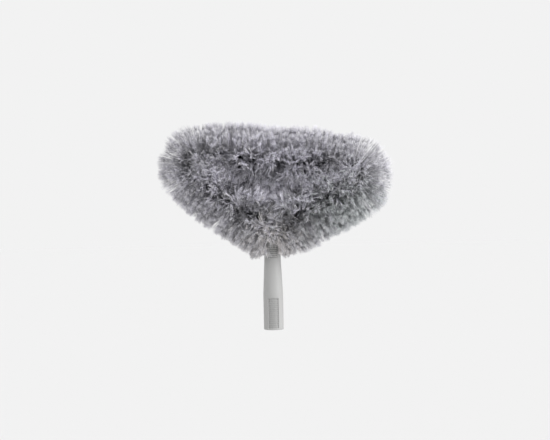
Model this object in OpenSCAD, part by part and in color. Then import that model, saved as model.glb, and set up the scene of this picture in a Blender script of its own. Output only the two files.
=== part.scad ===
// Cobweb brush: a twisted-wire bristle loop bent into a rounded triangle, on a tapered pole handle.
// The handle stands on +Z, its pole socket opens at the origin, and the loop lies in the XZ plane.

/* [Handle] */
// Height of the handle moulding
handle_h = 150; // [140:1:190]
// Diameter of the straight lower grip
grip_d = 31.6; // [30:0.2:40]
// Height of the straight lower grip
grip_h = 58; // [54:1:62]
// Diameter of the straight upper neck
neck_d = 26.4; // [26:0.2:29]
// Height at which the taper reaches the neck
neck_start = 112; // [100:1:113]
// Rounding of the lower rim
rim_r = 1.4; // [0.6:0.1:2]

/* [Pole socket] */
// Diameter of the bore that takes a pole's tip
socket_d = 22; // [18:0.2:24]
// Straight length of that bore
socket_h = 60; // [40:1:66]
// Length of the wedge that the tip jams into
wedge_h = 14; // [8:1:16]
// Diameter at the wedge's inner end
wedge_d = 16; // [10:0.5:17]

/* [Grip panels] */
// Width of a panel, measured straight across
panel_w = 17; // [10:0.5:20]
// Depth of a panel under the handle's surface
panel_depth = 0.5; // [0.2:0.1:0.8]
// Distance from one rib to the next
rib_pitch = 3.2; // [2.6:0.1:4]
// Depth of the grooves between the ribs
groove_depth = 0.7; // [0.3:0.1:1]
// Width of a groove at its mouth
groove_w = 2.3; // [1.6:0.1:2.5]
// Grooves in each lower panel
lower_grooves = 15; // [6:1:16]
// Grooves in each upper panel
upper_grooves = 9; // [4:1:9]
// Smooth band below each panel
panel_foot = 2.6; // [2:0.1:6]

/* [Wire plug] */
// Height of the plug's shank inside the neck
plug_h = 32; // [24:1:34]
// Diameter of the plug's shank
plug_d = 21.2; // [21:0.1:22]
// Thickness of the flange that caps the neck
flange_t = 2.4; // [1.6:0.1:4]
// How far the snap bead stands out of the shank
bead_proud = 0.5; // [0.3:0.1:0.7]
// Room left round the plug in the neck
plug_clearance = 0.1; // [0.05:0.05:0.2]

/* [Core wires] */
// Diameter of each of the two twisted wires
wire_d = 3; // [2.4:0.1:3.2]
// Space between the two wires, which holds the filaments
wire_gap = 1; // [0.9:0.1:1.3]
// Length of one full twist
twist_pitch = 31; // [30:1:36]
// Distance between the two stems in the handle
stem_spacing = 10.4; // [10.2:0.1:10.6]
// Room left round a stem in its hole
stem_clearance = 0.15; // [0.1:0.05:0.25]

/* [Crimps] */
// Outside diameter of the sleeve crimped on a stem's end
crimp_d = 9.6; // [9:0.1:9.8]
// Height of that sleeve
crimp_h = 8; // [5:0.5:12]
// Room left under the plug
crimp_clearance = 0.2; // [0.1:0.1:0.5]

/* [Loop] */
// Distance between the loop's two sharp corners
loop_w = 326; // [300:1:350]
// Height of those corners above the knees
loop_h = 102; // [90:1:112]
// How far the middle of the top run bows up above the line between the corners
bow = 10; // [4:0.5:14]
// Bend radius of that bow
bow_r = 1100; // [900:10:1400]
// Centreline bend radius at the corners
corner_r = 14; // [11:0.5:16]
// Height of the knees above the handle
knee_h = 12; // [11:0.5:16]
// Centreline bend radius at the knees
knee_r = 14; // [12:0.5:15]
// How far the loop leans to the right of the handle, in degrees
lean = 4.8; // [0:0.2:6]

/* [Bristles] */
// Reach of the bristles from the core's centreline
bristle_reach = 57; // [45:1:60]
// Sections that the fill is counted in round the loop
sections = 14; // [12:1:14]
// Pairs of opposite strands in each section
section_pairs = 13; // [12:1:14]
// Radius of a full strand at its thickest
strand_r = 2.2; // [1:0.1:2.3]
// Radius of a strand's tip
strand_tip_r = 1; // [0.4:0.1:1.2]
// Thickness of the mat of filaments gripped between the wires
mat_t = 0.4; // [0.3:0.1:0.5]
// Share by which one strand's reach differs from another's
reach_spread = 0.07; // [0:0.01:0.1]
// How far a strand's tip may stray along the core
tip_sweep = 3; // [0:0.5:4]
// How far the strands sway to and fro round the core, in degrees
sway = 24; // [0:1:28]
// Pairs of strands in one such sway
sway_pairs = 7.3; // [6.5:0.1:9]
// Space kept between strands that meet inside the loop
meeting_gap = 4; // [3.5:0.5:6]

/* [Hidden] */
$fn = 36;
small_fn = 14;
overcut = 1;
golden_share = (sqrt(5) - 1) / 2;

// Handle sizes that follow from the ones above
grip_r = grip_d / 2;
neck_r = neck_d / 2;
plug_bore_r = plug_d / 2 + plug_clearance;
plug_foot_z = handle_h - plug_h;
plug_top_z = handle_h + flange_t;
bead_r = 1.2;
bead_height = 6;
bead_z = plug_foot_z + bead_height;
room_under_crimps = 4;
cavity_h = crimp_clearance + crimp_h + room_under_crimps;
stem_x = stem_spacing / 2;

// Core sizes: the two wires' centres lie this far off the centreline
wire_offset = (wire_d + wire_gap) / 2;
stem_r = wire_offset + wire_d / 2;
stem_hole_r = stem_r + stem_clearance;
stem_end = 1;
stem_foot_z = plug_foot_z - crimp_clearance - crimp_h - stem_end;
wire_sides = 6;

// The wires and the mat share their rings, and a strand grows from the mat's edge between two rings
mat_proud = 1.1;
mat_reach = stem_r + mat_proud;
edge_slope = atan(2 * PI * mat_reach / twist_pitch);
belly_share = 0.75;
shortest_strand = 9;
flange_gap = 0.6;
handle_room = strand_r + flange_gap;
half_lag = 1 / 3;

// The core's route in the XZ plane: up the left stem, round the loop and down the right stem
knee_z = handle_h + knee_h;
function leaned(p) = [p.x * cos(lean) + p.y * sin(lean), knee_z - p.x * sin(lean) + p.y * cos(lean)];
turning_points = [
    [-stem_x, stem_foot_z],
    [-stem_x, knee_z],
    leaned([-loop_w / 2, loop_h]),
    leaned([0, loop_h + bow]),
    leaned([loop_w / 2, loop_h]),
    [stem_x, knee_z],
    [stem_x, stem_foot_z]
];
bend_radii = [0, knee_r, corner_r, bow_r, corner_r, knee_r, 0];
last_run = len(turning_points) - 2;

function heading(i) = let (d = turning_points[i + 1] - turning_points[i]) atan2(d.y, d.x);
function half_turn_range(a) = a > 180 ? a - 360 : a < -180 ? a + 360 : a;
function turn_at(i) = i == 0 || i > last_run ? 0 : half_turn_range(heading(i) - heading(i - 1));
function cut_at(i) = bend_radii[i] * tan(abs(turn_at(i)) / 2);
function along(a) = [cos(a), sin(a)];
function left_of(a) = [-sin(a), cos(a)];

// Straight runs, with a bend before each but the first
function run_length(i) = norm(turning_points[i + 1] - turning_points[i]) - cut_at(i) - cut_at(i + 1);
function bend_length(i) = bend_radii[i] * abs(turn_at(i)) * PI / 180;
function run_start(i) = i == 0 ? 0 : run_start(i - 1) + run_length(i - 1) + bend_length(i);
run_lengths = [for (i = [0 : last_run]) run_length(i)];
run_starts = [for (i = [0 : last_run]) run_start(i)];
core_length = run_starts[last_run] + run_lengths[last_run];

// The run that a distance s along the core lies on, or whose bend it lies on
function run_of(s, i = 0) = i == last_run || s <= run_starts[i] + run_lengths[i] ? i : run_of(s, i + 1);
function past_start(s) = s - run_starts[run_of(s)];

// Heading of the core, and its place in the XZ plane
function core_heading(s) =
    let (i = run_of(s), u = past_start(s))
    u >= 0 ? heading(i) : heading(i) + turn_at(i) * u / bend_length(i);
function core_place(s) =
    let (
        i = run_of(s),
        u = past_start(s),
        start = turning_points[i] + cut_at(i) * along(heading(i)),
        to_centre = sign(turn_at(i)) * bend_radii[i]
    )
    u >= 0
        ? start + u * along(heading(i))
        : start + to_centre * (left_of(heading(i)) - left_of(core_heading(s)));

// A point seen from the core at s, in a frame turned to a heading. Roll 0 points out of the loop.
function off_core(s, heading, roll, out, beside = 0, ahead = 0) =
    let (
        sideways = out * cos(roll) - beside * sin(roll),
        p = core_place(s) + sideways * left_of(heading) + ahead * along(heading)
    )
    [p.x, out * sin(roll) + beside * cos(roll), p.y];

function twist_at(s) = 360 * s / twist_pitch;

// The fill starts just above the handle on the left stem and ends above it on the right one
fill_start = plug_top_z + mat_reach - stem_foot_z;
fill_rings = sections * section_pairs;
pair_spacing = (core_length - 2 * fill_start) / fill_rings;
function ring_at(j) = fill_start + j * pair_spacing;

// Triangles of a face with four sides, of a ring with a point in its middle, of a tube's wall and of its cap
function quad(q) = [[q[0], q[1], q[3]], [q[3], q[1], q[2]]];
function fan(ring, middle) = [for (k = [0 : len(ring) - 1]) [ring[k], ring[(k + 1) % len(ring)], middle]];
function wall(ring, next) =
    let (n = len(ring))
    [for (k = [0 : n - 1]) each quad([ring[k], ring[(k + 1) % n], next[(k + 1) % n], next[k]])];
function cap(ring) = [for (k = [1 : len(ring) - 2]) [ring[0], ring[k], ring[k + 1]]];
function reversed(list) = [for (k = [len(list) - 1 : -1 : 0]) list[k]];
function count_from(first, n) = [for (k = [0 : n - 1]) first + k];

// How far a strand may reach into the loop before it meets the strands beyond the corner or neck at bend i
left_corner = 2;
right_corner = 4;
function corner_angle(i) = 180 - abs(turn_at(i));
neck_angle = 180 - corner_angle(left_corner) - corner_angle(right_corner);
function room_beside(s, i, angle, r) =
    let (past = s - run_starts[i], before = -past - bend_length(i))
    past < 0 && before < 0 ? r - meeting_gap / 2 : (max(past, before) + cut_at(i)) * tan(angle / 2);
function room_inside(s) =
    let (stem_room = stem_x + meeting_gap / 2)
    s < loop_start || s > loop_end
        ? stem_x
        : min(
            room_beside(s, 1, neck_angle, stem_room),
            room_beside(s, left_corner, corner_angle(left_corner), corner_r),
            room_beside(s, right_corner, corner_angle(right_corner), corner_r),
            room_beside(s, last_run, neck_angle, stem_room)
        );

// Strands that leave the loop beside the handle lie parallel to those of the run that they are next to
loop_start = run_starts[1];
loop_end = run_starts[last_run - 1] + run_lengths[last_run - 1];
function strand_heading(s, roll) =
    cos(roll) > 0 && s < loop_start
        ? heading(1)
        : cos(roll) > 0 && s > loop_end ? heading(last_run - 1) : core_heading(s);

// Evenly scattered values from 0 to 1 that never fall in step with the twist
function scattered(n) = let (v = n * golden_share) v - floor(v);
function strand_s(j) = ring_at(j + 0.5);
function strand_roll(j, half) =
    twist_at(strand_s(j)) + 90 + 180 * half + sway * sin(360 * (j / sway_pairs + half * half_lag));

function strand_reach(j, half) =
    let (
        s = strand_s(j),
        inward = -cos(strand_roll(j, half)),
        full = bristle_reach * (1 - reach_spread * scattered(2 * j + half))
    )
    inward <= 0 ? full : min(full, (room_inside(s) - meeting_gap / 2) / inward);

// Whether a strand that slants down past the handle's top passes outside its flange
function clears_handle(j, half) =
    let (
        s = strand_s(j),
        roll = strand_roll(j, half),
        foot = off_core(s, core_heading(s), roll, 0),
        tip = off_core(s, strand_heading(s, roll), roll, strand_reach(j, half)),
        drop = foot.z - tip.z,
        share = drop > 0 ? (foot.z - plug_top_z - handle_room) / drop : 1,
        passed = foot + (tip - foot) * share
    )
    share >= 1 || norm([passed.x, passed.y]) > neck_r + handle_room;

function has_strand(j, half) = strand_reach(j, half) > shortest_strand && clears_handle(j, half);

// The two rings of points that shape a strand: full in the belly and thin at the tip
function strand_points(j, half) =
    let (
        s = strand_s(j),
        roll = strand_roll(j, half),
        reach = strand_reach(j, half),
        fullness = sqrt(reach / bristle_reach),
        sweep = tip_sweep * (2 * scattered(6 * j + 3 * half + 1) - 1) * reach / bristle_reach,
        belly = [mat_reach + (reach - mat_reach) * belly_share, strand_r * fullness, sweep * belly_share],
        tip = [reach, strand_tip_r * fullness, sweep]
    )
    [for (ring = [belly, tip], corner = [135, 45, -45, -135])
        let (turn = corner + edge_slope, r = ring[1])
        off_core(s, strand_heading(s, roll), roll, ring[0], r * sin(turn), r * cos(turn) + ring[2])];

// Corners of the mat at a ring, and its middle on both sides between that ring and the next
function mat_point(s, out, side) = off_core(s, core_heading(s), twist_at(s) + 90, out, side * mat_t / 2);
function mat_corners(j) = [for (corner = [[1, -1], [-1, -1], [-1, 1], [1, 1]])
    mat_point(ring_at(j), corner.x * mat_reach, corner.y)];
function mat_middles(j) = [for (side = [-1, 1]) mat_point(ring_at(j + 0.5), 0, side)];

// Side k of the mat between rings j and j + 1, and the edge that a strand grows from
function mat_side(j, k) = [4 * j + k, 4 * j + 4 + k, 4 * j + 4 + (k + 1) % 4, 4 * j + (k + 1) % 4];
function edge_side(j, half) = mat_side(j, half == 0 ? 3 : 1);

module handle_outline() {
    translate([0, rim_r]) square([grip_r, grip_h - rim_r]);
    square([grip_r - rim_r, rim_r]);
    translate([grip_r - rim_r, rim_r]) circle(r = rim_r, $fn = small_fn);
    polygon([[0, grip_h], [grip_r, grip_h], [neck_r, neck_start], [neck_r, handle_h], [0, handle_h]]);
}

// Recess with a row of grooves in its floor, cut into a round surface of the given radius and facing -Y
module grip_panel(radius, foot, grooves) {
    half_angle = asin(panel_w / 2 / radius);
    floor_r = radius - panel_depth;
    flank = groove_w / 4;
    height = grooves * rib_pitch;
    comb = concat(
        [[radius + overcut, 0], [radius + overcut, height], [floor_r, height]],
        [for (k = [grooves - 1 : -1 : 0])
            let (middle = (k + 0.5) * rib_pitch)
            each [
                [floor_r, middle + groove_w / 2],
                [floor_r - groove_depth, middle + groove_w / 2 - flank],
                [floor_r - groove_depth, middle - groove_w / 2 + flank],
                [floor_r, middle - groove_w / 2]
            ]],
        [[floor_r, 0]]
    );
    translate([0, 0, foot]) rotate([0, 0, -90 - half_angle])
        rotate_extrude(angle = 2 * half_angle) polygon(comb);
}

// Tapered moulding: pole socket below, plug bore above, and grip panels front and back
module handle() {
    color("gainsboro") difference() {
        rotate_extrude() handle_outline();
        translate([0, 0, -overcut]) cylinder(d = socket_d, h = socket_h + overcut);
        translate([0, 0, socket_h]) cylinder(d1 = socket_d, d2 = wedge_d, h = wedge_h);
        translate([0, 0, plug_foot_z - cavity_h]) cylinder(r = plug_bore_r, h = plug_h + cavity_h + overcut);
        translate([0, 0, bead_z]) rotate_extrude()
            translate([plug_d / 2 + bead_proud - bead_r, 0])
                circle(r = bead_r + plug_clearance, $fn = small_fn);
        for (side = [0, 180]) rotate([0, 0, side]) {
            grip_panel(grip_r, panel_foot, lower_grooves);
            grip_panel(neck_r, neck_start + panel_foot, upper_grooves);
        }
    }
}

// Moulded plug that seats both stems in the neck, with a snap bead and a chamfered flange
module wire_plug() {
    chamfer = flange_t / 2;
    color("dimgray") difference() {
        rotate_extrude() {
            translate([0, plug_foot_z]) square([plug_d / 2, plug_h]);
            translate([plug_d / 2 + bead_proud - bead_r, bead_z]) circle(r = bead_r, $fn = small_fn);
            polygon([
                [0, handle_h], [neck_r, handle_h], [neck_r, plug_top_z - chamfer],
                [neck_r - chamfer, plug_top_z], [0, plug_top_z]
            ]);
        }
        for (x = [-stem_x, stem_x]) translate([x, 0, plug_foot_z - overcut])
            cylinder(r = stem_hole_r, h = plug_h + flange_t + 2 * overcut);
    }
}

// Steel sleeve crimped on a stem's end under the plug, so that the stem can't pull out
module crimp(side) {
    color("darkgray") translate([side * stem_x, 0, plug_foot_z - crimp_clearance - crimp_h]) difference() {
        cylinder(d = crimp_d, h = crimp_h);
        translate([0, 0, -overcut]) cylinder(r = stem_hole_r, h = crimp_h + 2 * overcut);
    }
}

// One of the two wires, wound round the core's centreline from one stem's end to the other's
module core_wire(phase) {
    stem_rings = round(fill_start / pair_spacing);
    between = [for (j = [1 - stem_rings : fill_rings + stem_rings - 1]) ring_at(j)];
    stations = concat([0], between, [core_length]);
    last_ring = len(stations) - 1;
    points = [for (s = stations, k = [0 : wire_sides - 1])
        let (roll = twist_at(s) + phase, turn = 360 * k / wire_sides + roll)
        off_core(s, core_heading(s), roll, wire_offset + wire_d / 2 * cos(turn), -wire_d / 2 * sin(turn))];
    rings = [for (j = [0 : last_ring]) count_from(j * wire_sides, wire_sides)];
    color("silver") polyhedron(points = points, faces = concat(
        cap(rings[0]),
        [for (j = [0 : last_ring - 1]) each wall(reversed(rings[j]), reversed(rings[j + 1]))],
        cap(reversed(rings[last_ring]))
    ));
}

// The filaments of one section: the mat gripped between the wires, and the strands that leave its edges
module bristles(number) {
    first = number * section_pairs;
    slots = [for (j = [0 : section_pairs - 1], half = [0, 1]) [j, half]];
    grown = [for (slot = slots) if (has_strand(first + slot[0], slot[1])) slot];
    bare = [for (slot = slots) if (!has_strand(first + slot[0], slot[1])) slot];
    corners = [for (j = [0 : section_pairs]) each mat_corners(first + j)];
    middles = [for (j = [0 : section_pairs - 1]) each mat_middles(first + j)];
    strands = [for (slot = grown) each strand_points(first + slot[0], slot[1])];
    first_middle = len(corners);
    first_strand = first_middle + len(middles);
    color("slategray") polyhedron(points = concat(corners, middles, strands), faces = concat(
        cap([0, 1, 2, 3]),
        cap(reversed(count_from(4 * section_pairs, 4))),
        [for (j = [0 : section_pairs - 1], side = [0, 1])
            each fan(mat_side(j, 2 * side), first_middle + 2 * j + side)],
        [for (slot = bare) each quad(edge_side(slot[0], slot[1]))],
        [for (n = [0 : len(grown) - 1])
            let (
                root = edge_side(grown[n][0], grown[n][1]),
                belly = count_from(first_strand + 8 * n, 4),
                tip = count_from(first_strand + 8 * n + 4, 4)
            )
            each concat(wall(root, belly), wall(belly, tip), cap(tip))]
    ));
}

// Bristle sections are numbered round the loop from the left stem to the right one
section_names = [for (number = [1 : sections]) str("bristles_", number < 10 ? "0" : "", number)];
rigid_names = ["handle", "wire_plug", "crimp_left", "crimp_right", "core_wire_a", "core_wire_b"];

handle();
wire_plug();
crimp(-1);  // crimp_left
crimp(1);  // crimp_right
core_wire(0);  // core_wire_a
core_wire(180);  // core_wire_b
for (number = [0 : sections - 1])
    bristles(number);
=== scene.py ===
import math

import bpy
import numpy as np
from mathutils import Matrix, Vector


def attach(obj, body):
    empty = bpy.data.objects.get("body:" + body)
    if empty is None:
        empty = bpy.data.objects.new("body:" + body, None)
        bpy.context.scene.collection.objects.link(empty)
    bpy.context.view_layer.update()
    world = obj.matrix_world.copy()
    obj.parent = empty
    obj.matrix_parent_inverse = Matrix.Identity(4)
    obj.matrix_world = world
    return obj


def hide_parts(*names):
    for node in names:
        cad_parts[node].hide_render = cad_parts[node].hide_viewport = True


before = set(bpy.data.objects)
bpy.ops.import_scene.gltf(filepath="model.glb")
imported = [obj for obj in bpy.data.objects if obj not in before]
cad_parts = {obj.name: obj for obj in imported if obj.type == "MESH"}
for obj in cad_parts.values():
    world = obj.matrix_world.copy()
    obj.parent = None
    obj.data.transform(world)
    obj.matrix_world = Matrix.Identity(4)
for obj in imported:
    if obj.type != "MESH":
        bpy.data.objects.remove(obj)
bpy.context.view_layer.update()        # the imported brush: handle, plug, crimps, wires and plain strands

mm = 0.001
tiny = 1e-12                            # keeps a division by no length at all from failing


# small helpers

def deselectAll():
    if bpy.context.object and bpy.context.object.mode != "OBJECT":
        bpy.ops.object.mode_set(mode="OBJECT")
    bpy.ops.object.select_all(action="DESELECT")


def pickOnly(piece):
    deselectAll()
    piece.select_set(True)
    bpy.context.view_layer.objects.active = piece


def editPiece(piece, what="VERT"):
    pickOnly(piece)
    bpy.ops.object.mode_set(mode="EDIT")
    bpy.ops.mesh.select_mode(type=what)
    bpy.ops.mesh.select_all(action="DESELECT")


def pickVertices(piece, test):          # in edit mode, by place
    bpy.ops.object.mode_set(mode="OBJECT")
    for vertex in piece.data.vertices:
        vertex.select = bool(test(vertex.co))
    for edge in piece.data.edges:
        edge.select = all(piece.data.vertices[i].select for i in edge.vertices)
    for face in piece.data.polygons:
        face.select = all(piece.data.vertices[i].select for i in face.vertices)
    bpy.ops.object.mode_set(mode="EDIT")


def pickFaces(piece, test):             # in edit mode, by middle and normal
    bpy.ops.object.mode_set(mode="OBJECT")
    for vertex in piece.data.vertices:
        vertex.select = False
    for edge in piece.data.edges:
        edge.select = False
    for face in piece.data.polygons:
        face.select = bool(test(face.center, face.normal))
    bpy.ops.object.mode_set(mode="EDIT")


def newMaterial(name):
    material = bpy.data.materials.new(name)
    material.use_nodes = True
    tree = material.node_tree
    return material, tree, tree.nodes["Principled BSDF"]


def addNode(tree, kind, inputs=None, **settings):
    node = tree.nodes.new(kind)
    for name, value in settings.items():
        setattr(node, name, value)
    for name, value in (inputs or {}).items():
        node.inputs[name].default_value = value
    return node


def link(tree, start, end):
    tree.links.new(start, end)


def wear(piece, material):              # one material all over
    piece.data.materials.clear()
    piece.data.materials.append(material)


def objectNoise(tree, scale, detail):   # noise that stays with the object
    place = addNode(tree, "ShaderNodeTexCoord")
    noise = addNode(tree, "ShaderNodeTexNoise", {"Scale": scale, "Detail": detail})
    link(tree, place.outputs["Object"], noise.inputs["Vector"])
    return noise.outputs["Fac"]


def mixTones(tree, shader, first, second, share):       # base colour between two tones
    tone = addNode(tree, "ShaderNodeMix", data_type="RGBA")
    tone.inputs["A"].default_value = first
    tone.inputs["B"].default_value = second
    link(tree, share, tone.inputs["Factor"])
    link(tree, tone.outputs["Result"], shader.inputs["Base Color"])


def varyRoughness(tree, shader, span, share):
    low, high = span
    gloss = addNode(tree, "ShaderNodeMapRange", {"To Min": low, "To Max": high})
    link(tree, share, gloss.inputs["Value"])
    link(tree, gloss.outputs[0], shader.inputs["Roughness"])


def addRelief(tree, height, strength, depth, under=None):       # on top of another relief if one is given
    relief = addNode(tree, "ShaderNodeBump", {"Strength": strength, "Distance": depth})
    link(tree, height, relief.inputs["Height"])
    if under:
        link(tree, under, relief.inputs["Normal"])
    return relief.outputs[0]


def setRamp(ramp, stops):               # stops are pairs of a position and a colour
    steps = ramp.color_ramp.elements
    while len(steps) < len(stops):
        steps.new(0.5)
    for step, (position, colour) in zip(steps, stops):
        step.position = position
        step.color = (*colour, 1)


# camera, as the photo was taken

print("camera")
photo = {
    "frame": (550, 440),                # width and height in pixels
    "socketAt": (273.9, 329.3),         # the handle's lower end, in pixels
    "pixel": 0.0016,                    # metres
    "roll": 1.1,                        # degrees that the brush leans to the left in the photo
    "distance": 1.8,
    "sensor": 36,
    "nearest": 0.01,                    # where the camera's view begins
}


def addPhotoCamera():
    roll = math.radians(photo["roll"])
    across = (photo["frame"][0] / 2 - photo["socketAt"][0]) * photo["pixel"]
    up = (photo["socketAt"][1] - photo["frame"][1] / 2) * photo["pixel"]
    x = across * math.cos(roll) + up * math.sin(roll)
    z = up * math.cos(roll) - across * math.sin(roll)
    bpy.ops.object.camera_add(location=(x, -photo["distance"], z), rotation=(math.pi / 2, roll, 0))
    camera = bpy.context.object
    camera.name = "photoCamera"
    camera.data.sensor_width = photo["sensor"]
    camera.data.lens = photo["sensor"] * photo["distance"] / (photo["frame"][0] * photo["pixel"])
    camera.data.clip_start = photo["nearest"]
    bpy.context.scene.camera = camera


addPhotoCamera()


# studio: soft light from all round, a stronger lamp from the right, plain pale floor and backdrop

print("studio")
studio = {
    "background": 0.888,                # as the photo's plain backdrop, linear
    "sky": 0.56,                        # strength of the light from all round
    "key": {"strength": 2.45, "from": (0.74, -0.22, 0.63), "softness": 40},
    "fill": {"strength": 0.6, "from": (-0.35, -0.75, 0.55), "softness": 50},
    "low": {"strength": 0.75, "from": (0.9, -0.42, 0.14), "softness": 14},
    "floorDrop": 0.5,                   # how far under the brush the floor lies
    "floorSize": 60,
    "floorTone": 0.80,                  # for the light that it throws back
}


def addSun(name, sun):                  # softness is the sun's width in degrees
    turn = Vector(sun["from"]).to_track_quat("Z", "Y").to_euler()
    bpy.ops.object.light_add(type="SUN", rotation=turn)
    lamp = bpy.context.object
    lamp.name = name
    lamp.data.energy = sun["strength"]
    lamp.data.angle = math.radians(sun["softness"])


def seenByEye(tree):                    # 1 for what the camera sees, straight or by way of metal or glass
    path = addNode(tree, "ShaderNodeLightPath")
    straight = addNode(tree, "ShaderNodeMath", operation="MAXIMUM")
    through = addNode(tree, "ShaderNodeMath", operation="MAXIMUM")
    link(tree, path.outputs["Is Camera Ray"], straight.inputs[0])
    link(tree, path.outputs["Is Glossy Ray"], straight.inputs[1])
    link(tree, straight.outputs[0], through.inputs[0])
    link(tree, path.outputs["Is Transmission Ray"], through.inputs[1])
    return through.outputs[0]


def addSky():
    world = bpy.data.worlds.new("studioSky")
    bpy.context.scene.world = world
    world.use_nodes = True
    tree = world.node_tree
    tree.nodes.clear()
    tone = studio["background"]
    light = addNode(tree, "ShaderNodeBackground", {"Color": (1, 1, 1, 1), "Strength": studio["sky"]})
    backdrop = addNode(tree, "ShaderNodeBackground", {"Color": (tone, tone, tone, 1), "Strength": 1.0})
    mix = addNode(tree, "ShaderNodeMixShader")
    out = addNode(tree, "ShaderNodeOutputWorld")
    link(tree, seenByEye(tree), mix.inputs[0])
    link(tree, light.outputs[0], mix.inputs[1])
    link(tree, backdrop.outputs[0], mix.inputs[2])
    link(tree, mix.outputs[0], out.inputs[0])


def addFloor():
    deselectAll()
    bpy.ops.mesh.primitive_plane_add(size=studio["floorSize"], location=(0, 0, -studio["floorDrop"]))
    floor = bpy.context.object
    floor.name = "floor"
    material, tree, shader = newMaterial("paleFloor")
    onFloor = studio["sky"]             # light that reaches the floor in the open
    for sun in (studio["key"], studio["fill"], studio["low"]):
        onFloor += sun["strength"] * Vector(sun["from"]).normalized().z / math.pi
    tone = addNode(tree, "ShaderNodeMapRange", {"To Min": studio["floorTone"],
                                                "To Max": studio["background"] / onFloor})
    link(tree, seenByEye(tree), tone.inputs["Value"])
    link(tree, tone.outputs[0], shader.inputs["Base Color"])
    shader.inputs["Roughness"].default_value = 1.0
    shader.inputs["Specular IOR Level"].default_value = 0.0
    wear(floor, material)


for place in ("key", "fill", "low"):
    addSun(place + "Lamp", studio[place])
addSky()
addFloor()
bpy.context.scene.view_settings.view_transform = "Standard"


# core line, bent from the left stem round the head to the right stem

print("core line")
loop = {
    "stemX": 5.2 * mm,                  # the two stems stand this far off the handle's axis
    "stemFoot": 108.8 * mm,
    "kneeZ": 162 * mm,                  # where the stems turn into the loop's slopes
    "width": 326 * mm,                  # between the loop's two sharp corners
    "height": 102 * mm,                 # of those corners over the knees
    "bow": 10 * mm,                     # how far the top side bows out
    "lean": 4.8,                        # degrees that the head leans to the right on its handle
    "bends": (14 * mm, 14 * mm, 1100 * mm, 14 * mm, 14 * mm),       # radius of each bend
    "bendSteps": 6,                     # at least, or one a degree
    "twist": 31 * mm,                   # length of one full twist of the wires
    "fillStart": 48.2 * mm,             # how far up the stem the filaments begin
}


def coreLine():                         # places, headings and distance along the bent core
    lean = math.radians(loop["lean"])

    def leaned(x, up):
        return np.array([x * math.cos(lean) + up * math.sin(lean),
                         loop["kneeZ"] - x * math.sin(lean) + up * math.cos(lean)])

    turns = [
        np.array([-loop["stemX"], loop["stemFoot"]]),
        np.array([-loop["stemX"], loop["kneeZ"]]),
        leaned(-loop["width"] / 2, loop["height"]),
        leaned(0, loop["height"] + loop["bow"]),
        leaned(loop["width"] / 2, loop["height"]),
        np.array([loop["stemX"], loop["kneeZ"]]),
        np.array([loop["stemX"], loop["stemFoot"]]),
    ]
    headings = [math.atan2(*(turns[i + 1] - turns[i])[::-1]) for i in range(len(turns) - 1)]
    places, angles = [turns[0]], [headings[0]]
    for i, radius in enumerate(loop["bends"], 1):
        turn = (headings[i] - headings[i - 1] + math.pi) % (2 * math.pi) - math.pi
        before, side = angles[-1], math.copysign(radius, turn)
        cut = radius * math.tan(abs(turn) / 2)
        start = turns[i] - cut * np.array([math.cos(before), math.sin(before)])
        steps = max(loop["bendSteps"], int(abs(math.degrees(turn))))
        for k in range(steps + 1):
            now = before + turn * k / steps
            places.append(start + side * np.array([-math.sin(before) + math.sin(now),
                                                   math.cos(before) - math.cos(now)]))
            angles.append(now)
    places.append(turns[-1])
    angles.append(angles[-1])
    places = np.array(places)
    along = np.concatenate([[0], np.cumsum(np.linalg.norm(np.diff(places, axis=0), axis=1))])
    return places, np.array(angles), along


corePlaces, coreHeadings, coreAlong = coreLine()
coreLength = coreAlong[-1]
kneeEnd = coreAlong[1 + np.argmax(np.diff(coreHeadings[1:]) == 0)]      # where the left slope begins
print("core length", round(coreLength, 4))


def coreAt(s):                          # place, direction along and direction out of the loop
    x = np.interp(s, coreAlong, corePlaces[:, 0])
    z = np.interp(s, coreAlong, corePlaces[:, 1])
    heading = np.interp(s, coreAlong, coreHeadings)
    zero = np.zeros_like(x)
    place = np.stack([x, zero, z], -1)
    ahead = np.stack([np.cos(heading), zero, np.sin(heading)], -1)
    outward = np.stack([-np.sin(heading), zero, np.cos(heading)], -1)
    return place, ahead, outward


# handle, drawn out ring by ring from the pole socket's floor, round the outside, to the plug bore's floor

print("handle")
handle = {
    "gripR": 15.8 * mm,
    "gripTop": 58 * mm,
    "neckR": 13.2 * mm,
    "neckFoot": 112 * mm,
    "taper": (0, 0.1, 0.35, 0.65, 0.9, 1),      # shares of the slope's height where rings lie
    "top": 150 * mm,
    "rimR": 1.4 * mm,
    "rimSteps": 6,
    "lip": 0.4 * mm,                    # width of the worn edge of the two bores
    "socketR": 11 * mm,
    "socketDeep": 60 * mm,
    "wedgeR": 8 * mm,
    "wedgeTop": 74 * mm,
    "boreR": 10.7 * mm,
    "boreFloor": 105.8 * mm,
    "sides": 100,
    "ribPitch": 3.2 * mm,
    "groove": 2.2 * mm,                 # width of a groove between two ribs
    "grooveSlope": 0.3 * mm,
    "panelSlope": 0.2 * mm,
    "panelDepth": 0.5 * mm,
    "lowerPanel": {"foot": 2.6 * mm, "grooves": 15, "columns": 18, "deep": 1.4 * mm},
    "upperPanel": {"foot": 114.6 * mm, "grooves": 9, "columns": 22, "deep": 0.7 * mm},
    "wallSlack": 0.3 * mm,              # faces this far within the wall still count as wall
    "floorSlack": (0.2 * mm, 0.05 * mm),        # and these far under and over a panel's floor as floor
    "level": 0.05,                      # if their normals rise less than this
    "weld": 0.01 * mm,
    "edge": 0.1 * mm,                   # width of the softened edges
    "edgeSteps": 2,
    "sharp": 25,                        # degrees from which an edge is softened
    "smooth": 35,                       # and up to which it is shaded smooth
}


def grooveSpans(panel):                 # lower and upper height of each groove
    spans = []
    for k in range(panel["grooves"]):
        middle = panel["foot"] + (k + 0.5) * handle["ribPitch"]
        spans.append((middle - handle["groove"] / 2, middle + handle["groove"] / 2))
    return spans


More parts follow.
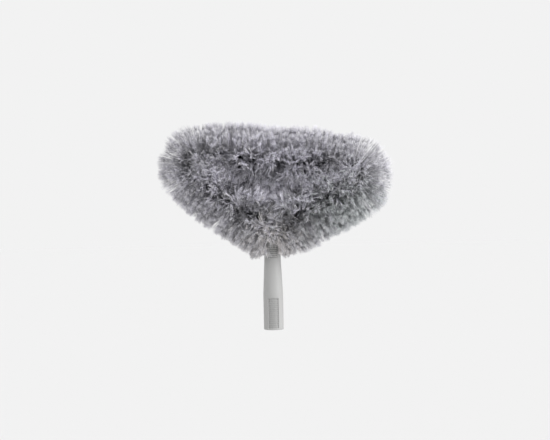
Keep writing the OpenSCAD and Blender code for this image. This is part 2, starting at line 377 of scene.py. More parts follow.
def panelHeights(panel):                # heights of the rings that a panel needs
    top = panel["foot"] + panel["grooves"] * handle["ribPitch"]
    return [panel["foot"]] + [z for span in grooveSpans(panel) for z in span] + [top]


def handleProfile():                    # radius and height of each ring
    gripR, neckR = handle["gripR"], handle["neckR"]
    socketR, boreR = handle["socketR"], handle["boreR"]
    lip, rim, top = handle["lip"], handle["rimR"], handle["top"]
    rings = [(handle["wedgeR"], handle["wedgeTop"]), (socketR, handle["socketDeep"]), (socketR, lip),
             (socketR + lip, 0)]
    for k in range(handle["rimSteps"] + 1):
        turn = math.radians(90 / handle["rimSteps"] * k)
        rings.append((gripR - rim * (1 - math.sin(turn)), rim * (1 - math.cos(turn))))
    rings += [(gripR, z) for z in panelHeights(handle["lowerPanel"])]
    slope = handle["neckFoot"] - handle["gripTop"]
    for share in handle["taper"]:
        rings.append((gripR + (neckR - gripR) * share, handle["gripTop"] + slope * share))
    rings += [(neckR, z) for z in panelHeights(handle["upperPanel"])]
    return rings + [(neckR, top - lip), (neckR - lip, top), (boreR + lip, top), (boreR, top - lip),
                    (boreR, handle["boreFloor"])]


def onPanel(panel, centre, low, high, outside):     # whether a face of the wall lies in a panel's columns
    turn = math.pi / handle["sides"] * panel["columns"]
    off = abs(math.atan2(centre.x, abs(centre.y)))
    around = math.hypot(centre.x, centre.y)
    return off < turn and low < centre.z < high and around > outside


def cutPanel(piece, panel):             # sunk front and back, with grooves sunk into its floor
    heights = panelHeights(panel)
    wall = handle["gripR"] if panel is handle["lowerPanel"] else handle["neckR"]
    outside = wall - handle["wallSlack"]
    pickFaces(piece, lambda centre, normal: onPanel(panel, centre, heights[0], heights[-1], outside))
    bpy.ops.mesh.inset(thickness=handle["panelSlope"], depth=-handle["panelDepth"])
    spans = grooveSpans(panel)
    floor = wall - handle["panelDepth"]
    under, over = handle["floorSlack"]

    def inGroove(centre, normal):
        if abs(normal.z) > handle["level"] or math.hypot(centre.x, centre.y) > floor + over:
            return False
        return any(onPanel(panel, centre, low, high, floor - under) for low, high in spans)

    pickFaces(piece, inGroove)
    bpy.ops.mesh.inset(thickness=handle["grooveSlope"], depth=-panel["deep"])


def modelHandle(material):
    rings = handleProfile()
    deselectAll()
    bpy.ops.mesh.primitive_circle_add(vertices=handle["sides"], radius=rings[0][0], fill_type="NGON",
                                      location=(0, 0, rings[0][1]))
    piece = bpy.context.object
    piece.name = "handleMoulding"
    bpy.ops.object.transform_apply(location=True)
    editPiece(piece, "FACE")
    bpy.ops.mesh.select_all(action="SELECT")
    for (radius, height), (nextRadius, nextHeight) in zip(rings, rings[1:]):
        bpy.ops.mesh.extrude_region_move(TRANSFORM_OT_translate={"value": (0, 0, nextHeight - height)})
        wider = nextRadius / radius
        bpy.ops.transform.resize(value=(wider, wider, 1), center_override=(0, 0, nextHeight))
    bpy.ops.mesh.select_all(action="SELECT")
    bpy.ops.mesh.remove_doubles(threshold=handle["weld"])
    bpy.ops.mesh.normals_make_consistent(inside=False)
    cutPanel(piece, handle["lowerPanel"])
    cutPanel(piece, handle["upperPanel"])
    bpy.ops.object.mode_set(mode="OBJECT")
    edge = piece.modifiers.new("edge", "BEVEL")
    edge.width = handle["edge"]
    edge.segments = handle["edgeSteps"]
    edge.limit_method = "ANGLE"
    edge.angle_limit = math.radians(handle["sharp"])
    bpy.ops.object.modifier_apply(modifier=edge.name)
    bpy.ops.object.shade_smooth_by_angle(angle=math.radians(handle["smooth"]))
    wear(piece, material)
    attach(piece, "root")
    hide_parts("handle")
    print("handle faces", len(piece.data.polygons))


handleFinish = {
    "colour": (0.37, 0.37, 0.366, 1),
    "shine": 1.0,
    "cloud": (45.0, 3.0),               # scale and detail of the faint clouds in the moulding's tone
    "uneven": 0.04,                     # share by which that tone wanders
    "roughness": (0.54, 0.62),
    "grain": (2600.0, 2.0),             # grains in a metre, and their detail
    "grainStrength": 0.25,
    "grainDepth": 0.02 * mm,
    "seamWide": 0.24 * mm,              # from the middle of the parting line to its edge
    "seamHigh": 0.12 * mm,
    "seamStrength": 0.6,
}


def partingLine(tree):                  # highest where the object's Y is 0, down both sides of the handle
    place = addNode(tree, "ShaderNodeTexCoord")
    split = addNode(tree, "ShaderNodeSeparateXYZ")
    link(tree, place.outputs["Object"], split.inputs[0])
    off = addNode(tree, "ShaderNodeMath", operation="ABSOLUTE")
    link(tree, split.outputs["Y"], off.inputs[0])
    ridge = addNode(tree, "ShaderNodeMapRange", {"From Min": 0.0, "From Max": handleFinish["seamWide"],
                                                 "To Min": 1.0, "To Max": 0.0})
    link(tree, off.outputs[0], ridge.inputs["Value"])
    return ridge.outputs[0]


def greyMoulding():
    material, tree, shader = newMaterial("greyMoulding")
    cloud = objectNoise(tree, *handleFinish["cloud"])
    colour = handleFinish["colour"]
    darker = tuple(c * (1 - handleFinish["uneven"]) for c in colour[:3]) + (1,)
    mixTones(tree, shader, darker, colour, cloud)
    varyRoughness(tree, shader, handleFinish["roughness"], cloud)
    shader.inputs["Specular IOR Level"].default_value = handleFinish["shine"]
    grain = objectNoise(tree, *handleFinish["grain"])
    relief = addRelief(tree, grain, handleFinish["grainStrength"], handleFinish["grainDepth"])
    seam = addRelief(tree, partingLine(tree), handleFinish["seamStrength"], handleFinish["seamHigh"], relief)
    link(tree, seam, shader.inputs["Normal"])
    return material


modelHandle(greyMoulding())


# plug, crimps and the two wires twisted round each other

print("plug, crimps and wires")
plugFinish = {
    "colour": (0.16, 0.16, 0.165, 1),
    "roughness": (0.42, 0.55),
    "grain": (1800.0, 2.0),             # grains in a metre, and their detail
    "grainStrength": 0.2,
    "grainDepth": 0.02 * mm,
}
steelFinish = {
    "bright": (0.60, 0.61, 0.63, 1),
    "dull": (0.42, 0.43, 0.45, 1),
    "roughness": (0.28, 0.48),
    "spangle": 400.0,                   # patches of the zinc coat in a metre
    "scratches": (900.0, 4.0),          # in a metre, and their detail
    "scratchDepth": 0.03 * mm,
    "wireStrength": 0.15,               # how scratched the drawn wires are
    "crimpStrength": 0.4,               # and the pressed crimps
}
wire = {
    "radius": 1.5 * mm,
    "offCore": 2 * mm,                  # from the core line to the middle of either wire
    "step": 1.6 * mm,
    "roundness": 4,
    "weld": 0.001 * mm,
    "smooth": 50,                       # degrees up to which an edge is shaded smooth
}


def darkMoulding():
    material, tree, shader = newMaterial("darkMoulding")
    shader.inputs["Base Color"].default_value = plugFinish["colour"]
    grain = objectNoise(tree, *plugFinish["grain"])
    varyRoughness(tree, shader, plugFinish["roughness"], grain)
    relief = addRelief(tree, grain, plugFinish["grainStrength"], plugFinish["grainDepth"])
    link(tree, relief, shader.inputs["Normal"])
    return material


def zincSteel(name, scratched):
    material, tree, shader = newMaterial(name)
    shader.inputs["Metallic"].default_value = 1.0
    place = addNode(tree, "ShaderNodeTexCoord")
    spangle = addNode(tree, "ShaderNodeTexVoronoi", {"Scale": steelFinish["spangle"]})
    link(tree, place.outputs["Object"], spangle.inputs["Vector"])
    split = addNode(tree, "ShaderNodeSeparateXYZ")
    link(tree, spangle.outputs["Color"], split.inputs[0])
    mixTones(tree, shader, steelFinish["dull"], steelFinish["bright"], split.outputs["X"])
    varyRoughness(tree, shader, steelFinish["roughness"], split.outputs["Y"])
    marks = objectNoise(tree, *steelFinish["scratches"])
    relief = addRelief(tree, marks, scratched, steelFinish["scratchDepth"])
    link(tree, relief, shader.inputs["Normal"])
    return material


def twistWire(letter, phase, material):
    along = np.linspace(0, coreLength, int(coreLength / wire["step"]))
    place, _, outward = coreAt(along)
    roll = (2 * math.pi * along / loop["twist"] + phase)[:, None]
    line = place + wire["offCore"] * (np.cos(roll) * outward + np.sin(roll) * np.array([0, 1, 0]))
    path = bpy.data.curves.new("wirePath", "CURVE")
    path.dimensions = "3D"
    path.bevel_depth = wire["radius"]
    path.bevel_resolution = wire["roundness"]
    path.use_fill_caps = True
    spline = path.splines.new("POLY")
    spline.points.add(len(line) - 1)
    spline.points.foreach_set("co", np.column_stack([line, np.ones(len(line))]).ravel())
    piece = bpy.data.objects.new("twistedWire_" + letter, path)
    bpy.context.scene.collection.objects.link(piece)
    pickOnly(piece)
    bpy.ops.object.convert(target="MESH")
    piece = bpy.context.object
    editPiece(piece)
    bpy.ops.mesh.select_all(action="SELECT")
    bpy.ops.mesh.remove_doubles(threshold=wire["weld"])
    bpy.ops.mesh.normals_make_consistent(inside=False)
    bpy.ops.object.mode_set(mode="OBJECT")
    bpy.ops.object.shade_smooth_by_angle(angle=math.radians(wire["smooth"]))
    wear(piece, material)
    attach(piece, "root")
    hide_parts("core_wire_" + letter)


zincWire = zincSteel("zincWire", steelFinish["wireStrength"])
twistWire("a", 0, zincWire)
twistWire("b", math.pi, zincWire)
wear(bpy.data.objects["wire_plug"], darkMoulding())
pressedSteel = zincSteel("pressedSteel", steelFinish["crimpStrength"])
wear(bpy.data.objects["crimp_left"], pressedSteel)
wear(bpy.data.objects["crimp_right"], pressedSteel)


# bristles: thousands of thin filaments with split ends, gripped between the wires in two spiral rows

print("bristles")
seeds = {"tufts": 19, "sections": 20, "crossing": 60, "models": 140}      # of the random draws
bristle = {
    "sections": 14,
    "strands": 2300,                    # in each section, before the corners and the foot are filled more
    "inClump": 7,
    "reach": 59 * mm,                   # of most strands
    "reachAt": (                        # millimetres along the core, and how far the strands there reach
        (60, 61), (83, 58.7), (105, 61.1), (126, 63.2), (147, 65), (169, 62.8), (192, 61), (213, 58.4),
        (234, 61.4), (256, 61), (277, 62), (299, 63), (320, 61.3), (343, 59), (364, 56), (386, 60.2),
        (407, 64), (428, 61.2), (450, 54.4), (471, 61.5), (494, 59.4), (515, 63), (536, 63.8), (558, 62.2),
        (580, 60.1), (601, 62), (622, 63), (645, 57),
    ),
    "clumpReach": 0.01,                 # share by which one clump's reach differs from another's
    "strandReach": 0.012,               # and one strand's from its clump's
    "strandLimits": (0.9, 1.03),        # of a strand's length against its clump's
    "tuft": 18 * mm,                    # width of a tuft at its tips
    "tuftReach": 0.025,
    "tuftRound": 0.035,                 # how much shorter a tuft is at its sides
    "tuftPull": 0.05,                   # how far its tips draw together
    "tuftSweep": 0.6,                   # degrees that a tuft leans to its neighbours
    "tipSteps": 3000,                   # steps in which the line of the tips is measured
    "longest": (66 * mm, 60.8 * mm, 66 * mm),       # strands are pressed a little flatter front to back
    "rollSpread": 33,                   # degrees round the core
    "evenShare": 0.4,                   # share of the clumps that leave the spiral rows for any direction
    "sweepSpread": 9,                   # degrees along the core
    "looseRise": 4,                     # how late clumps grow loose from those that point outward
    "crown": (0.15, 14),                # how loose the outermost are, and degrees of roll they take up
    "clumpRoot": 1.0 * mm,              # how far its strands stand apart at the core
    "clumpTip": 0.6 * mm,               # and at its tips
    "clumpBend": 0.8 * mm,              # how far a clump strays at its tips
    "looseBend": 7 * mm,                # and more where it stands to the front, the back or into the loop
    "crossBend": 8 * mm,                # how far the outward clumps' tips cross, front to back
    "bend": 1.2 * mm,                   # how far each strand hooks at its tip
    "looseHook": 10 * mm,               # and more where it is loose
    "wave": 0.35 * mm,                  # how far a strand snakes
    "looseWave": 1.5 * mm,              # and more where it is loose
    "waves": (1.5, 3.5),                # how many in a strand's length
    "rise": {                           # powers of the length with which the bends grow
        "pull": 2, "droop": 2, "scatter": 1.5, "stray": 3, "cross": 3, "hook": 5,
    },
    "droop": 1.5 * mm,                  # how far all tips hang
    "frontDrop": 0.27,                  # how steeply the lowest tufts hang over the handle, front and back
    "footShort": 0.06,                  # share by which the lowest tufts are shorter
    "footFan": 42,                      # degrees that the lowest clumps lean towards the handle
    "fanShort": 0.3,                    # and those clumps that lean more still
    "footLength": 16 * mm,
    "footFill": 1.2,                    # how much denser the lowest tufts are
    "cornerFill": 0.7,                  # and the corners
    "cornerTurn": 20,                   # radians a metre from which the core counts as a corner
    "fillSteps": 200,                   # steps in which a section's filling is measured
    "slowed": 0.5,                      # share of its pace that a strand loses once it meets others
    "pushed": 0.25,                     # and how fast it then turns to the front or the back
    "sideBlur": 0.15,                   # how far the two ways mix in the middle
    "sectors": 14,                      # patches round the core that differ in length and dye; the shorter ones are drawn darker, a painted shade
    "patchReach": 0.12,                 # how much longer or shorter a patch is
    "darkShort": 0.08,                  # how much shorter the dark clumps are where they stand loose
    "clearTop": 153 * mm,               # strands lie round the handle below this height
    "clearR": 13.9 * mm,
}
meeting = {
    "places": 500,                      # along the core, where the room into the loop is measured
    "against": 1500,                    # and those it is measured against
    "least": 1 * mm,
    "from": 2 * mm,
    "to": 70 * mm,
    "slack": 1.5 * mm,
}
# dyes of the strands, with painted shade drawn into their colour: darker roots, a painted shadow above the
# handle, darker short patches
dye = {
    "shades": 16,                       # steps from the darkest dye to the lightest
    "lightest": 1.0,
    "darkest": 0.31,
    "lightShare": 0.62,                 # share of the clumps that are of the lighter mix
    "looseLight": 0.51,                 # and of those that stand to the front, the back or into the loop
    "darkClump": (0.0, 0.36),
    "lightClump": (0.85, 1.0),
    "strandShade": 0.08,                # how much one strand's shade differs from its clump's
    "tuftShade": 0.08,                  # and one tuft's from the others'
    "middle": 0.68,
    "evened": 0.8,                      # how much nearer to the middle the shades of the outward strands are
    "patchToneAndValleyShade": 0.62,                # how much a patch lightens or darkens its clumps: random tone, and painted shade, since the darker patches also stand shorter
    "paintedFootShadow": 0.35,                  # painted shadow: how much darker the strands are drawn above the handle
    "paintedFootShadowAt": (20 * mm, 13 * mm),       # from the fill's end to the darkest place of that painted shadow, and how wide that is
    # painted shade: the colour darkens towards the root, where the dense fill shades itself
    "paintedRootShade": ((0.0, 0.58), (0.4, 0.66), (0.7, 0.82), (0.85, 0.92), (1.0, 0.95)),
    "aimAt": 0.75,                      # the place on a strand that decides its tint
    "tints": (                          # neutral, lavender, green and warm, and round which x and z
        {"tint": (1.01, 1.0, 1.04), "at": (0, 0), "wide": (1, 1), "share": 0},
        {"tint": (1.02, 1.0, 1.10), "at": (0, 0.245), "wide": (0.15, 0.07), "share": 1},
        {"tint": (0.96, 1.0, 1.01), "at": (0.13, 0.185), "wide": (0.07, 0.045), "share": 0.9},
        {"tint": (1.04, 1.0, 0.99), "at": (0, 0.14), "wide": (0.035, 0.03), "share": 0.7},
    ),
    "acrossCell": (0.1, 0.9),           # a face's corners lie apart within its dye's cell
    "lengthwise": (0.01, 0.98),         # where the root lies in the map, and how long the strand is there
    "roughness": 0.32,
    "shine": 0.7,
}
hair = {
    "splits": (0, 3, 3, 3),             # split ends of each model
    "flagged": 0.6,                     # share of the strands with split ends
    "rootR": 0.4 * mm,
    "endR": 0.26 * mm,
    "tip": 0.5,                         # share of endR at the very tip
    "rings": (0.3, 0.55, 0.8),          # where a strand can bend
    "flagFrom": 0.80,                   # share of the length at which the split ends start
    "overlap": 0.06,                    # and how far the strand itself runs on beside them
    "early": 0.04,                      # how much sooner an end may start
    "short": 0.05,                      # and stop
    "endRoot": 0.95,                    # share of endR where a split end starts
    "flagSpread": 1.7 * mm,
    "spreads": (0.5, 1.3),
    "turn": 35,                         # degrees that an end strays from an even spread
    "knee": 0.55,                       # where in its length it bends
    "toKnee": 0.45,                     # share of the spread up to there
    "toTip": 0.55,
    "kneeTurn": 60,                     # degrees
    "near": 0.01,                       # tolerance in picking a ring by its height
    "fork": (0.7, 1.4),                 # how wide a strand's split ends stand, against its model's
    "ahead": 0.02,                      # how far on the next place is that shows a strand's course
}


def addCone(low, high, rootR, tipR):    # three-sided, between two heights
    bpy.ops.mesh.primitive_cone_add(vertices=3, radius1=rootR, radius2=tipR, depth=high - low,
                                    location=(0, 0, (low + high) / 2))
    bpy.ops.object.transform_apply(location=True)
    return bpy.context.object


def cutRings(piece, heights):           # leaves the piece in edit mode
    editPiece(piece)
    for height in heights:
        bpy.ops.mesh.select_all(action="SELECT")
        bpy.ops.mesh.bisect(plane_co=(0, 0, height), plane_no=(0, 0, 1))


def pushAbove(piece, height, far, way):         # in edit mode, sideways
    pickVertices(piece, lambda co: co.z > height)
    bpy.ops.transform.translate(value=(far * math.cos(way), far * math.sin(way), 0))


def modelSplitEnd(way, rng):            # thin, and bent away from its strand
    low = hair["flagFrom"] - rng.uniform(0, hair["early"])
    high = 1 - rng.uniform(0, hair["short"])
    spread = hair["flagSpread"] * rng.uniform(*hair["spreads"])
    deselectAll()
    endR = hair["endR"]
    end = addCone(low, high, endR * hair["endRoot"], endR * hair["tip"])
    cutRings(end, [low + (high - low) * hair["knee"]])
    pushAbove(end, low + hair["near"], spread * hair["toKnee"], way)
    turned = way + math.radians(rng.uniform(-hair["kneeTurn"], hair["kneeTurn"]))
    pushAbove(end, high - hair["near"], spread * hair["toTip"], turned)
    bpy.ops.object.mode_set(mode="OBJECT")
    return end


def modelStrand(number, splits):        # a filament one unit long, with split ends if it has any
    rng = np.random.default_rng(seeds["models"] + number)
    deselectAll()
    if splits:
        strand = addCone(0, hair["flagFrom"] + hair["overlap"], hair["rootR"], hair["endR"])
        cutRings(strand, hair["rings"][:-1])
    else:
        strand = addCone(0, 1, hair["rootR"], hair["endR"] * hair["tip"])
        cutRings(strand, hair["rings"])
    bpy.ops.object.mode_set(mode="OBJECT")
    ends = []
    first = rng.uniform(0, 360)
    for k in range(splits):
        aside = rng.uniform(-hair["turn"], hair["turn"])
        ends.append(modelSplitEnd(math.radians(first + 360 / splits * k + aside), rng))
    pickOnly(strand)
    for end in ends:
        end.select_set(True)
    bpy.ops.object.join()
    points = np.array([v.co for v in strand.data.vertices])
    faces = [list(f.vertices) for f in strand.data.polygons]
    bpy.data.objects.remove(strand)
    return points, faces


strandModels = [modelStrand(k, splits) for k, splits in enumerate(hair["splits"])]
print("strand models:", [len(faces) for points, faces in strandModels], "faces")


def unit(v):
    return v / np.maximum(np.linalg.norm(v, axis=-1, keepdims=True), tiny)


def anyWay(count, rng):                 # random directions
    return unit(rng.normal(0, 1, (count, 3)))


def roomInside():                       # how far strands reach into the loop before they meet others
    along = np.linspace(0, coreLength, meeting["places"])
    place, _, outward = coreAt(along)
    line = coreAt(np.linspace(0, coreLength, meeting["against"]))[0]
    room = np.full(len(along), meeting["least"])
    for reach in np.arange(meeting["from"], meeting["to"], mm):
        tip = place - outward * reach
        nearest = np.linalg.norm(tip[:, None] - line[None], axis=-1).min(1)
        enough = reach - meeting["slack"]
        room = np.where((nearest > enough) & (room > enough), reach, room)
    return along, room


roomAlong, roomWide = roomInside()


def clearHandle(line):                  # strands lie round the handle's top and not through it
    around = np.hypot(line[..., 0], line[..., 1])
    inside = (line[..., 2] < bristle["clearTop"]) & (around < bristle["clearR"])
    grow = np.where(inside, bristle["clearR"] / np.maximum(around, mm), 1)
    line[..., 0] *= grow
    line[..., 1] *= grow
    return line


def tipLength():                        # distance along the tips' line for each place on the core
    along = np.linspace(0, coreLength, bristle["tipSteps"])
    turning = np.abs(np.gradient(np.interp(along, coreAlong, coreHeadings), along))
    steps = (1 + bristle["reach"] * turning) * (along[1] - along[0])
    return along, np.concatenate([[0], np.cumsum(steps[1:])])


tipAlong, tipFar = tipLength()
tuftRandom = np.random.default_rng(seeds["tufts"])
tuftCount = int(tipFar[-1] / bristle["tuft"]) + 1
tuftReach = tuftRandom.uniform(0, bristle["tuftReach"], tuftCount)
tuftSweep = tuftRandom.normal(0, bristle["tuftSweep"], tuftCount)
tuftShade = tuftRandom.uniform(-dye["tuftShade"], dye["tuftShade"], tuftCount)
patches = tuftRandom.uniform(-1, 1, (tuftCount, bristle["sectors"]))
lastRow = tuftCount - 1.001             # just short of the last tuft, which has no next one


def patchAt(tip, roll):                 # from -1 to 1, softly from patch to patch
    row = np.clip(tip - 0.5, 0, lastRow)
    low = np.floor(row).astype(int)
    column = roll / (2 * math.pi) * bristle["sectors"]
    left = np.floor(column).astype(int)
    up = row - low
    over = column - left
    corners = [patches[low + i, (left + j) % bristle["sectors"]] for i in (0, 1) for j in (0, 1)]
    lower = corners[0] + (corners[1] - corners[0]) * over
    upper = corners[2] + (corners[3] - corners[2]) * over
    return lower + (upper - lower) * up


def fromFoot(s):                        # distance along the core from the nearer end of the fill
    return np.minimum(s - loop["fillStart"], coreLength - loop["fillStart"] - s)


def placeClumps(number, rng):           # where the clumps of a section leave the core, denser at the corners
    fill = coreLength - 2 * loop["fillStart"]
    start = loop["fillStart"] + fill * number / bristle["sections"]
    stop = start + fill / bristle["sections"]
    grid = np.linspace(start, stop, bristle["fillSteps"])
    turning = np.abs(np.gradient(np.interp(grid, coreAlong, coreHeadings), grid))
    weight = 1 + bristle["cornerFill"] * (turning > bristle["cornerTurn"])
    weight += bristle["footFill"] * (fromFoot(grid) < bristle["footLength"])
    clumps = int(bristle["strands"] / bristle["inClump"] * weight.mean())
    share = np.concatenate([[0], np.cumsum((weight[1:] + weight[:-1]) / 2)])
    return np.interp(rng.uniform(0, 1, clumps), share / share[-1], grid), start, stop


def throwClumps(s, rng):                # which way round the core each clump points
    spiral = 2 * math.pi * s / loop["twist"]
    otherRow = math.pi * rng.integers(0, 2, len(s))
    roll = spiral + math.pi / 2 + otherRow + np.radians(rng.normal(0, bristle["rollSpread"], len(s)))
    even = rng.uniform(0, 1, len(s)) < bristle["evenShare"]
    return np.where(even, rng.uniform(0, 2 * math.pi, len(s)), roll)


def looseAt(roll):                      # 0 for what points out of the loop, 1 for the other sides
    loose = (1 - np.cos(roll).clip(0, 1) ** 2) ** bristle["looseRise"]
    crownLoose, crownWide = bristle["crown"]
    upright = np.exp(-(np.arccos(np.cos(roll)) / math.radians(crownWide)) ** 2)
    return np.maximum(loose, crownLoose * upright)


def layClumps(number, rng):             # where a section's clumps stand, and how they lean, reach and differ
    s, start, stop = placeClumps(number, rng)
    roll = throwClumps(s, rng)
    loose = looseAt(roll)
    sweep = rng.uniform(-bristle["sweepSpread"], bristle["sweepSpread"], len(s))
    fan = rng.uniform(0, 1, len(s)) * np.exp(-(fromFoot(s) / bristle["footLength"]) ** 2)
    fan *= np.abs(np.cos(roll))
    tip = np.interp(s, tipAlong, tipFar) + bristle["reach"] * np.sin(np.radians(sweep))
    tip = tip / bristle["tuft"]
    tuft = np.floor(tip).astype(int).clip(0, tuftCount - 1)
    aside = 2 * (tip - tuft - 0.5)      # from -1 to 1 across the tuft
    lean = bristle["footFan"] * fan * np.where(s < coreLength / 2, -1, 1)
    reach = 1 - tuftReach[tuft] - bristle["tuftRound"] * aside ** 2 - bristle["fanShort"] * fan
    reach -= np.abs(rng.normal(0, bristle["clumpReach"], len(s)))
    lightShare = dye["lightShare"] + (dye["looseLight"] - dye["lightShare"]) * loose
    light = rng.uniform(0, 1, len(s)) < lightShare
    patch = patchAt(tip, roll)
    reach += loose * (bristle["patchReach"] * patch - bristle["darkShort"] * ~light)
    measured, far = np.array(bristle["reachAt"]).T * mm
    crossing = np.random.default_rng(seeds["crossing"] + number)
    return {
        "s": s,
        "span": (start, stop),
        "roll": roll,
        "loose": loose,
        "sweep": np.radians(sweep + tuftSweep[tuft] + lean),
        "reach": reach * np.interp(s, measured, far),
        "light": light,
        "patch": patch,
        "tuftShade": tuftShade[tuft],
        "pull": -aside * bristle["tuftPull"] * bristle["tuft"] / 2,
        "cross": crossing.normal(0, bristle["crossBend"], len(s)) * np.cos(roll).clip(0, 1),
    }


def shadeStrands(clump, owner, rng):    # from 0 for the darkest dye to 1 for the lightest, with the painted shadow and painted shade added in
    s = clump["s"]
    loose = clump["loose"]
    pale = rng.uniform(*dye["lightClump"], len(s))
    dark = rng.uniform(*dye["darkClump"], len(s))
    shade = np.where(clump["light"], pale, dark)
    shade += (dye["middle"] - shade) * dye["evened"] * (1 - loose) + clump["tuftShade"] * (1 - loose)
    # random tone and painted shade: a patch that stands shorter is drawn darker too
    shade += dye["patchToneAndValleyShade"] * clump["patch"] * loose
    # painted shadow: strands just above the handle are drawn darker, where shadow falls there
    shadowMiddle, shadowWide = dye["paintedFootShadowAt"]
    shade -= dye["paintedFootShadow"] * loose * np.exp(-((fromFoot(s) - shadowMiddle) / shadowWide) ** 2)
    return shade[owner] + rng.uniform(-dye["strandShade"], dye["strandShade"], len(owner))


def layStrands(number):                 # the bent lines of one section's strands
    rng = np.random.default_rng(seeds["sections"] + number)
    clump = layClumps(number, rng)
    clumps = len(clump["s"])
    owner = np.repeat(np.arange(clumps), bristle["inClump"])
    n = len(owner)
    uneven = 1 + rng.normal(0, bristle["strandReach"], n)
    reach = clump["reach"][owner] * uneven.clip(*bristle["strandLimits"])
    shade = shadeStrands(clump, owner, rng)
    roll = clump["roll"][owner]
    loose = clump["loose"][owner][:, None]
    sweep = clump["sweep"][owner]
    pull = clump["pull"][owner][:, None]
    cross = clump["cross"][owner][:, None]
    rise = bristle["rise"]

    s = np.clip(clump["s"][owner] + rng.normal(0, bristle["clumpRoot"], n), *clump["span"])
    place, ahead, _ = coreAt(s)
    outward = coreAt(np.clip(s, kneeEnd, coreLength - kneeEnd))[2]      # stems lean as the slopes do
    front = np.array([0, 1, 0])
    scatter = rng.normal(0, bristle["clumpTip"], (n, 3))
    stray = (anyWay(clumps, rng) * np.abs(rng.normal(0, 1, (clumps, 1))))[owner]
    stray *= bristle["clumpBend"] + bristle["looseBend"] * loose
    hook = anyWay(n, rng) * np.abs(rng.normal(0, 1, (n, 1)))
    hook *= bristle["bend"] + bristle["looseHook"] * loose
    curl = anyWay(n, rng) * rng.uniform(0, 1, (n, 1))
    curl *= bristle["wave"] + bristle["looseWave"] * loose
    turns = rng.uniform(*bristle["waves"], n)
    phase = rng.uniform(0, 2 * math.pi, n)
    wall = np.interp(s, roomAlong, roomWide)[:, None]
    side = np.where(np.sin(roll) + rng.normal(0, bristle["sideBlur"], n) > 0, 1, -1)[:, None]
    atFoot = np.exp(-(fromFoot(s) / bristle["footLength"]) ** 2)
    drop = (bristle["frontDrop"] * np.sin(roll) ** 2 * atFoot)[:, None]
    reach = reach * (1 - bristle["footShort"] * atFoot)

    def lineAt(t):                      # t is a share of the length
        t = np.broadcast_to(t, (n, len(t)))
        gone = reach[:, None] * t * np.cos(sweep)[:, None]
        out = gone * np.cos(roll)[:, None]
        past = np.maximum(-out - wall, 0)
        out = out + past * bristle["slowed"]
        fore = gone * np.sin(roll)[:, None] + side * past * bristle["pushed"]
        line = out[..., None] * outward[:, None] + fore[..., None] * front
        line += (reach * np.sin(sweep))[:, None, None] * t[..., None] * ahead[:, None]
        line += (pull * t ** rise["pull"])[..., None] * ahead[:, None]
        line += scatter[:, None] * t[..., None] ** rise["scatter"]
        line += (cross * t ** rise["cross"])[..., None] * front
        line += stray[:, None] * t[..., None] ** rise["stray"] + hook[:, None] * t[..., None] ** rise["hook"]
        wave = t * np.sin(2 * math.pi * t * turns[:, None] + phase[:, None])
        line += curl[:, None] * wave[..., None]
        line[..., 2] -= drop * gone + bristle["droop"] * t ** rise["droop"]
        far = np.linalg.norm(line, axis=-1)     # no tip stands out of the trimmed surface
        line *= np.minimum(1, reach[:, None] * t / np.maximum(far, mm))[..., None]
        far = np.linalg.norm(line / np.array(bristle["longest"]), axis=-1, keepdims=True)
        line /= np.maximum(far, 1)
        return clearHandle(line + place[:, None])

    return lineAt, shade, n, rng


def pickDyes(aim, shade, rng):          # which dye each strand has, by where it points and by chance
    tint = np.zeros(len(aim), int)
    for index, kind in enumerate(dye["tints"]):
        off = ((aim[:, 0] - kind["at"][0]) / kind["wide"][0]) ** 2
        off += ((aim[:, 2] - kind["at"][1]) / kind["wide"][1]) ** 2
        tint = np.where(rng.uniform(0, 1, len(aim)) < kind["share"] * np.exp(-off), index, tint)
    return tint * dye["shades"] + np.floor(shade * dye["shades"]).clip(0, dye["shades"] - 1)


def bristleMesh(name, points, loops, sizes, maps):      # one mesh from the lists of its strands
    points = np.concatenate(points)
    sizes = np.concatenate(sizes)
    mesh = bpy.data.meshes.new(name)
    mesh.vertices.add(len(points))
    mesh.vertices.foreach_set("co", points.astype(np.float32).ravel())
    mesh.loops.add(int(sizes.sum()))
    mesh.loops.foreach_set("vertex_index", np.concatenate(loops).astype(np.int32))
    mesh.polygons.add(len(sizes))
    mesh.polygons.foreach_set("loop_start", np.concatenate([[0], np.cumsum(sizes)[:-1]]).astype(np.int32))
    mesh.polygons.foreach_set("use_smooth", np.ones(len(sizes), bool))
    layer = mesh.uv_layers.new(name="OFBake")
    layer.uv.foreach_set("vector", np.concatenate(maps).astype(np.float32).ravel())
    mesh.update(calc_edges=True)
    mesh.validate()
    return mesh


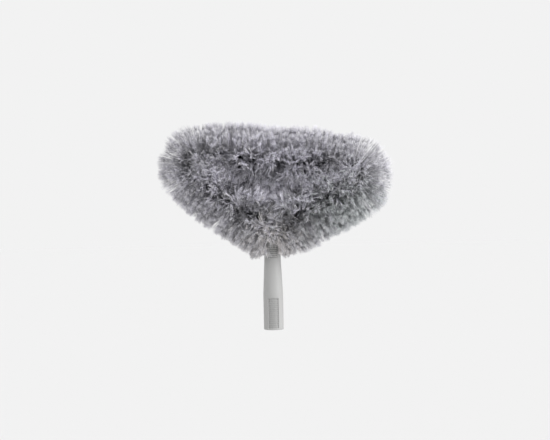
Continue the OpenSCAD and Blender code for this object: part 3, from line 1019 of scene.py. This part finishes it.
def bristlePiece(number, material):     # each strand is one of the models, bent along its own line
    lineAt, shade, n, rng = layStrands(number)
    flagged = rng.uniform(0, 1, n) < hair["flagged"]
    choice = np.where(flagged, rng.integers(1, len(strandModels), n), 0)
    spin = rng.uniform(0, 2 * math.pi, n)
    fork = rng.uniform(*hair["fork"], n)
    cell = pickDyes(lineAt(np.array([dye["aimAt"]]))[:, 0], shade, rng)
    cells = dye["shades"] * len(dye["tints"])
    rootAt, longAs = dye["lengthwise"]
    reference = anyWay(n, rng)
    allPoints, allLoops, allSizes, allMaps = [], [], [], []
    offset = 0
    for kind, (points, faces) in enumerate(strandModels):
        mine = np.nonzero(choice == kind)[0]
        heights = points[:, 2]
        places = lineAt(heights)[mine]
        course = unit(lineAt(heights + hair["ahead"])[mine] - places)
        across = unit(np.cross(course, reference[mine][:, None]))
        beside = np.cross(course, across)
        c = np.cos(spin[mine])[:, None]
        d = np.sin(spin[mine])[:, None]
        x = (points[:, 0] * c - points[:, 1] * d) * fork[mine][:, None]
        y = (points[:, 0] * d + points[:, 1] * c) * fork[mine][:, None]
        allPoints.append((places + x[..., None] * across + y[..., None] * beside).reshape(-1, 3))
        corner = np.array([v for face in faces for v in face])
        first = np.arange(len(mine)) * len(points) + offset
        allLoops.append((corner[None, :] + first[:, None]).ravel())
        allSizes.append(np.tile([len(face) for face in faces], len(mine)))
        share = np.concatenate([np.linspace(*dye["acrossCell"], len(face)) for face in faces])
        u = (cell[mine][:, None] + share[None, :]) / cells
        v = np.broadcast_to(rootAt + longAs * heights[corner][None, :].clip(0, 1), u.shape)
        allMaps.append(np.stack([u, v], -1).reshape(-1, 2))
        offset += len(mine) * len(points)
    name = "%02d" % (number + 1)
    mesh = bristleMesh("bristleFill_" + name, allPoints, allLoops, allSizes, allMaps)
    piece = bpy.data.objects.new("bristleFill_" + name, mesh)
    bpy.context.scene.collection.objects.link(piece)
    wear(piece, material)
    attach(piece, "root")
    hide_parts("bristles_" + name)
    return piece


def dyedFilamentWithPaintedShade():                     # each strand in its own dye, with painted shade drawn in: darker towards the root, pale at the split end
    material, tree, shader = newMaterial("dyedFilamentWithPaintedShade")
    cells = dye["shades"] * len(dye["tints"])
    uv = addNode(tree, "ShaderNodeUVMap", uv_map="OFBake")
    split = addNode(tree, "ShaderNodeSeparateXYZ")
    link(tree, uv.outputs["UV"], split.inputs[0])
    # painted shade along the strand, darker towards the root
    along = addNode(tree, "ShaderNodeValToRGB")
    setRamp(along, [(position, (tone, tone, tone)) for position, tone in dye["paintedRootShade"]])
    link(tree, split.outputs["Y"], along.inputs[0])
    row = addNode(tree, "ShaderNodeMath", operation="MULTIPLY")
    row.inputs[1].default_value = cells
    link(tree, split.outputs["X"], row.inputs[0])
    whole = addNode(tree, "ShaderNodeMath", operation="FLOOR")
    link(tree, row.outputs[0], whole.inputs[0])
    inTint = addNode(tree, "ShaderNodeMath", operation="MODULO")
    inTint.inputs[1].default_value = dye["shades"]
    link(tree, whole.outputs[0], inTint.inputs[0])
    shade = addNode(tree, "ShaderNodeMapRange", {"From Max": dye["shades"] - 1, "To Min": dye["darkest"],
                                                 "To Max": dye["lightest"]})
    link(tree, inTint.outputs[0], shade.inputs["Value"])
    tint = addNode(tree, "ShaderNodeValToRGB")
    tint.color_ramp.interpolation = "CONSTANT"
    setRamp(tint, [(k / len(dye["tints"]), kind["tint"]) for k, kind in enumerate(dye["tints"])])
    link(tree, split.outputs["X"], tint.inputs[0])
    shaded = addNode(tree, "ShaderNodeMix", data_type="RGBA", blend_type="MULTIPLY")
    shaded.inputs["Factor"].default_value = 1.0
    link(tree, along.outputs[0], shaded.inputs["A"])
    link(tree, shade.outputs[0], shaded.inputs["B"])
    tinted = addNode(tree, "ShaderNodeMix", data_type="RGBA", blend_type="MULTIPLY")
    tinted.inputs["Factor"].default_value = 1.0
    link(tree, shaded.outputs["Result"], tinted.inputs["A"])
    link(tree, tint.outputs[0], tinted.inputs["B"])
    link(tree, tinted.outputs["Result"], shader.inputs["Base Color"])
    shader.inputs["Roughness"].default_value = dye["roughness"]
    shader.inputs["Specular IOR Level"].default_value = dye["shine"]
    return material


filament = dyedFilamentWithPaintedShade()
fills = [bristlePiece(number, filament) for number in range(bristle["sections"])]
print("bristle faces", sum(len(piece.data.polygons) for piece in fills))
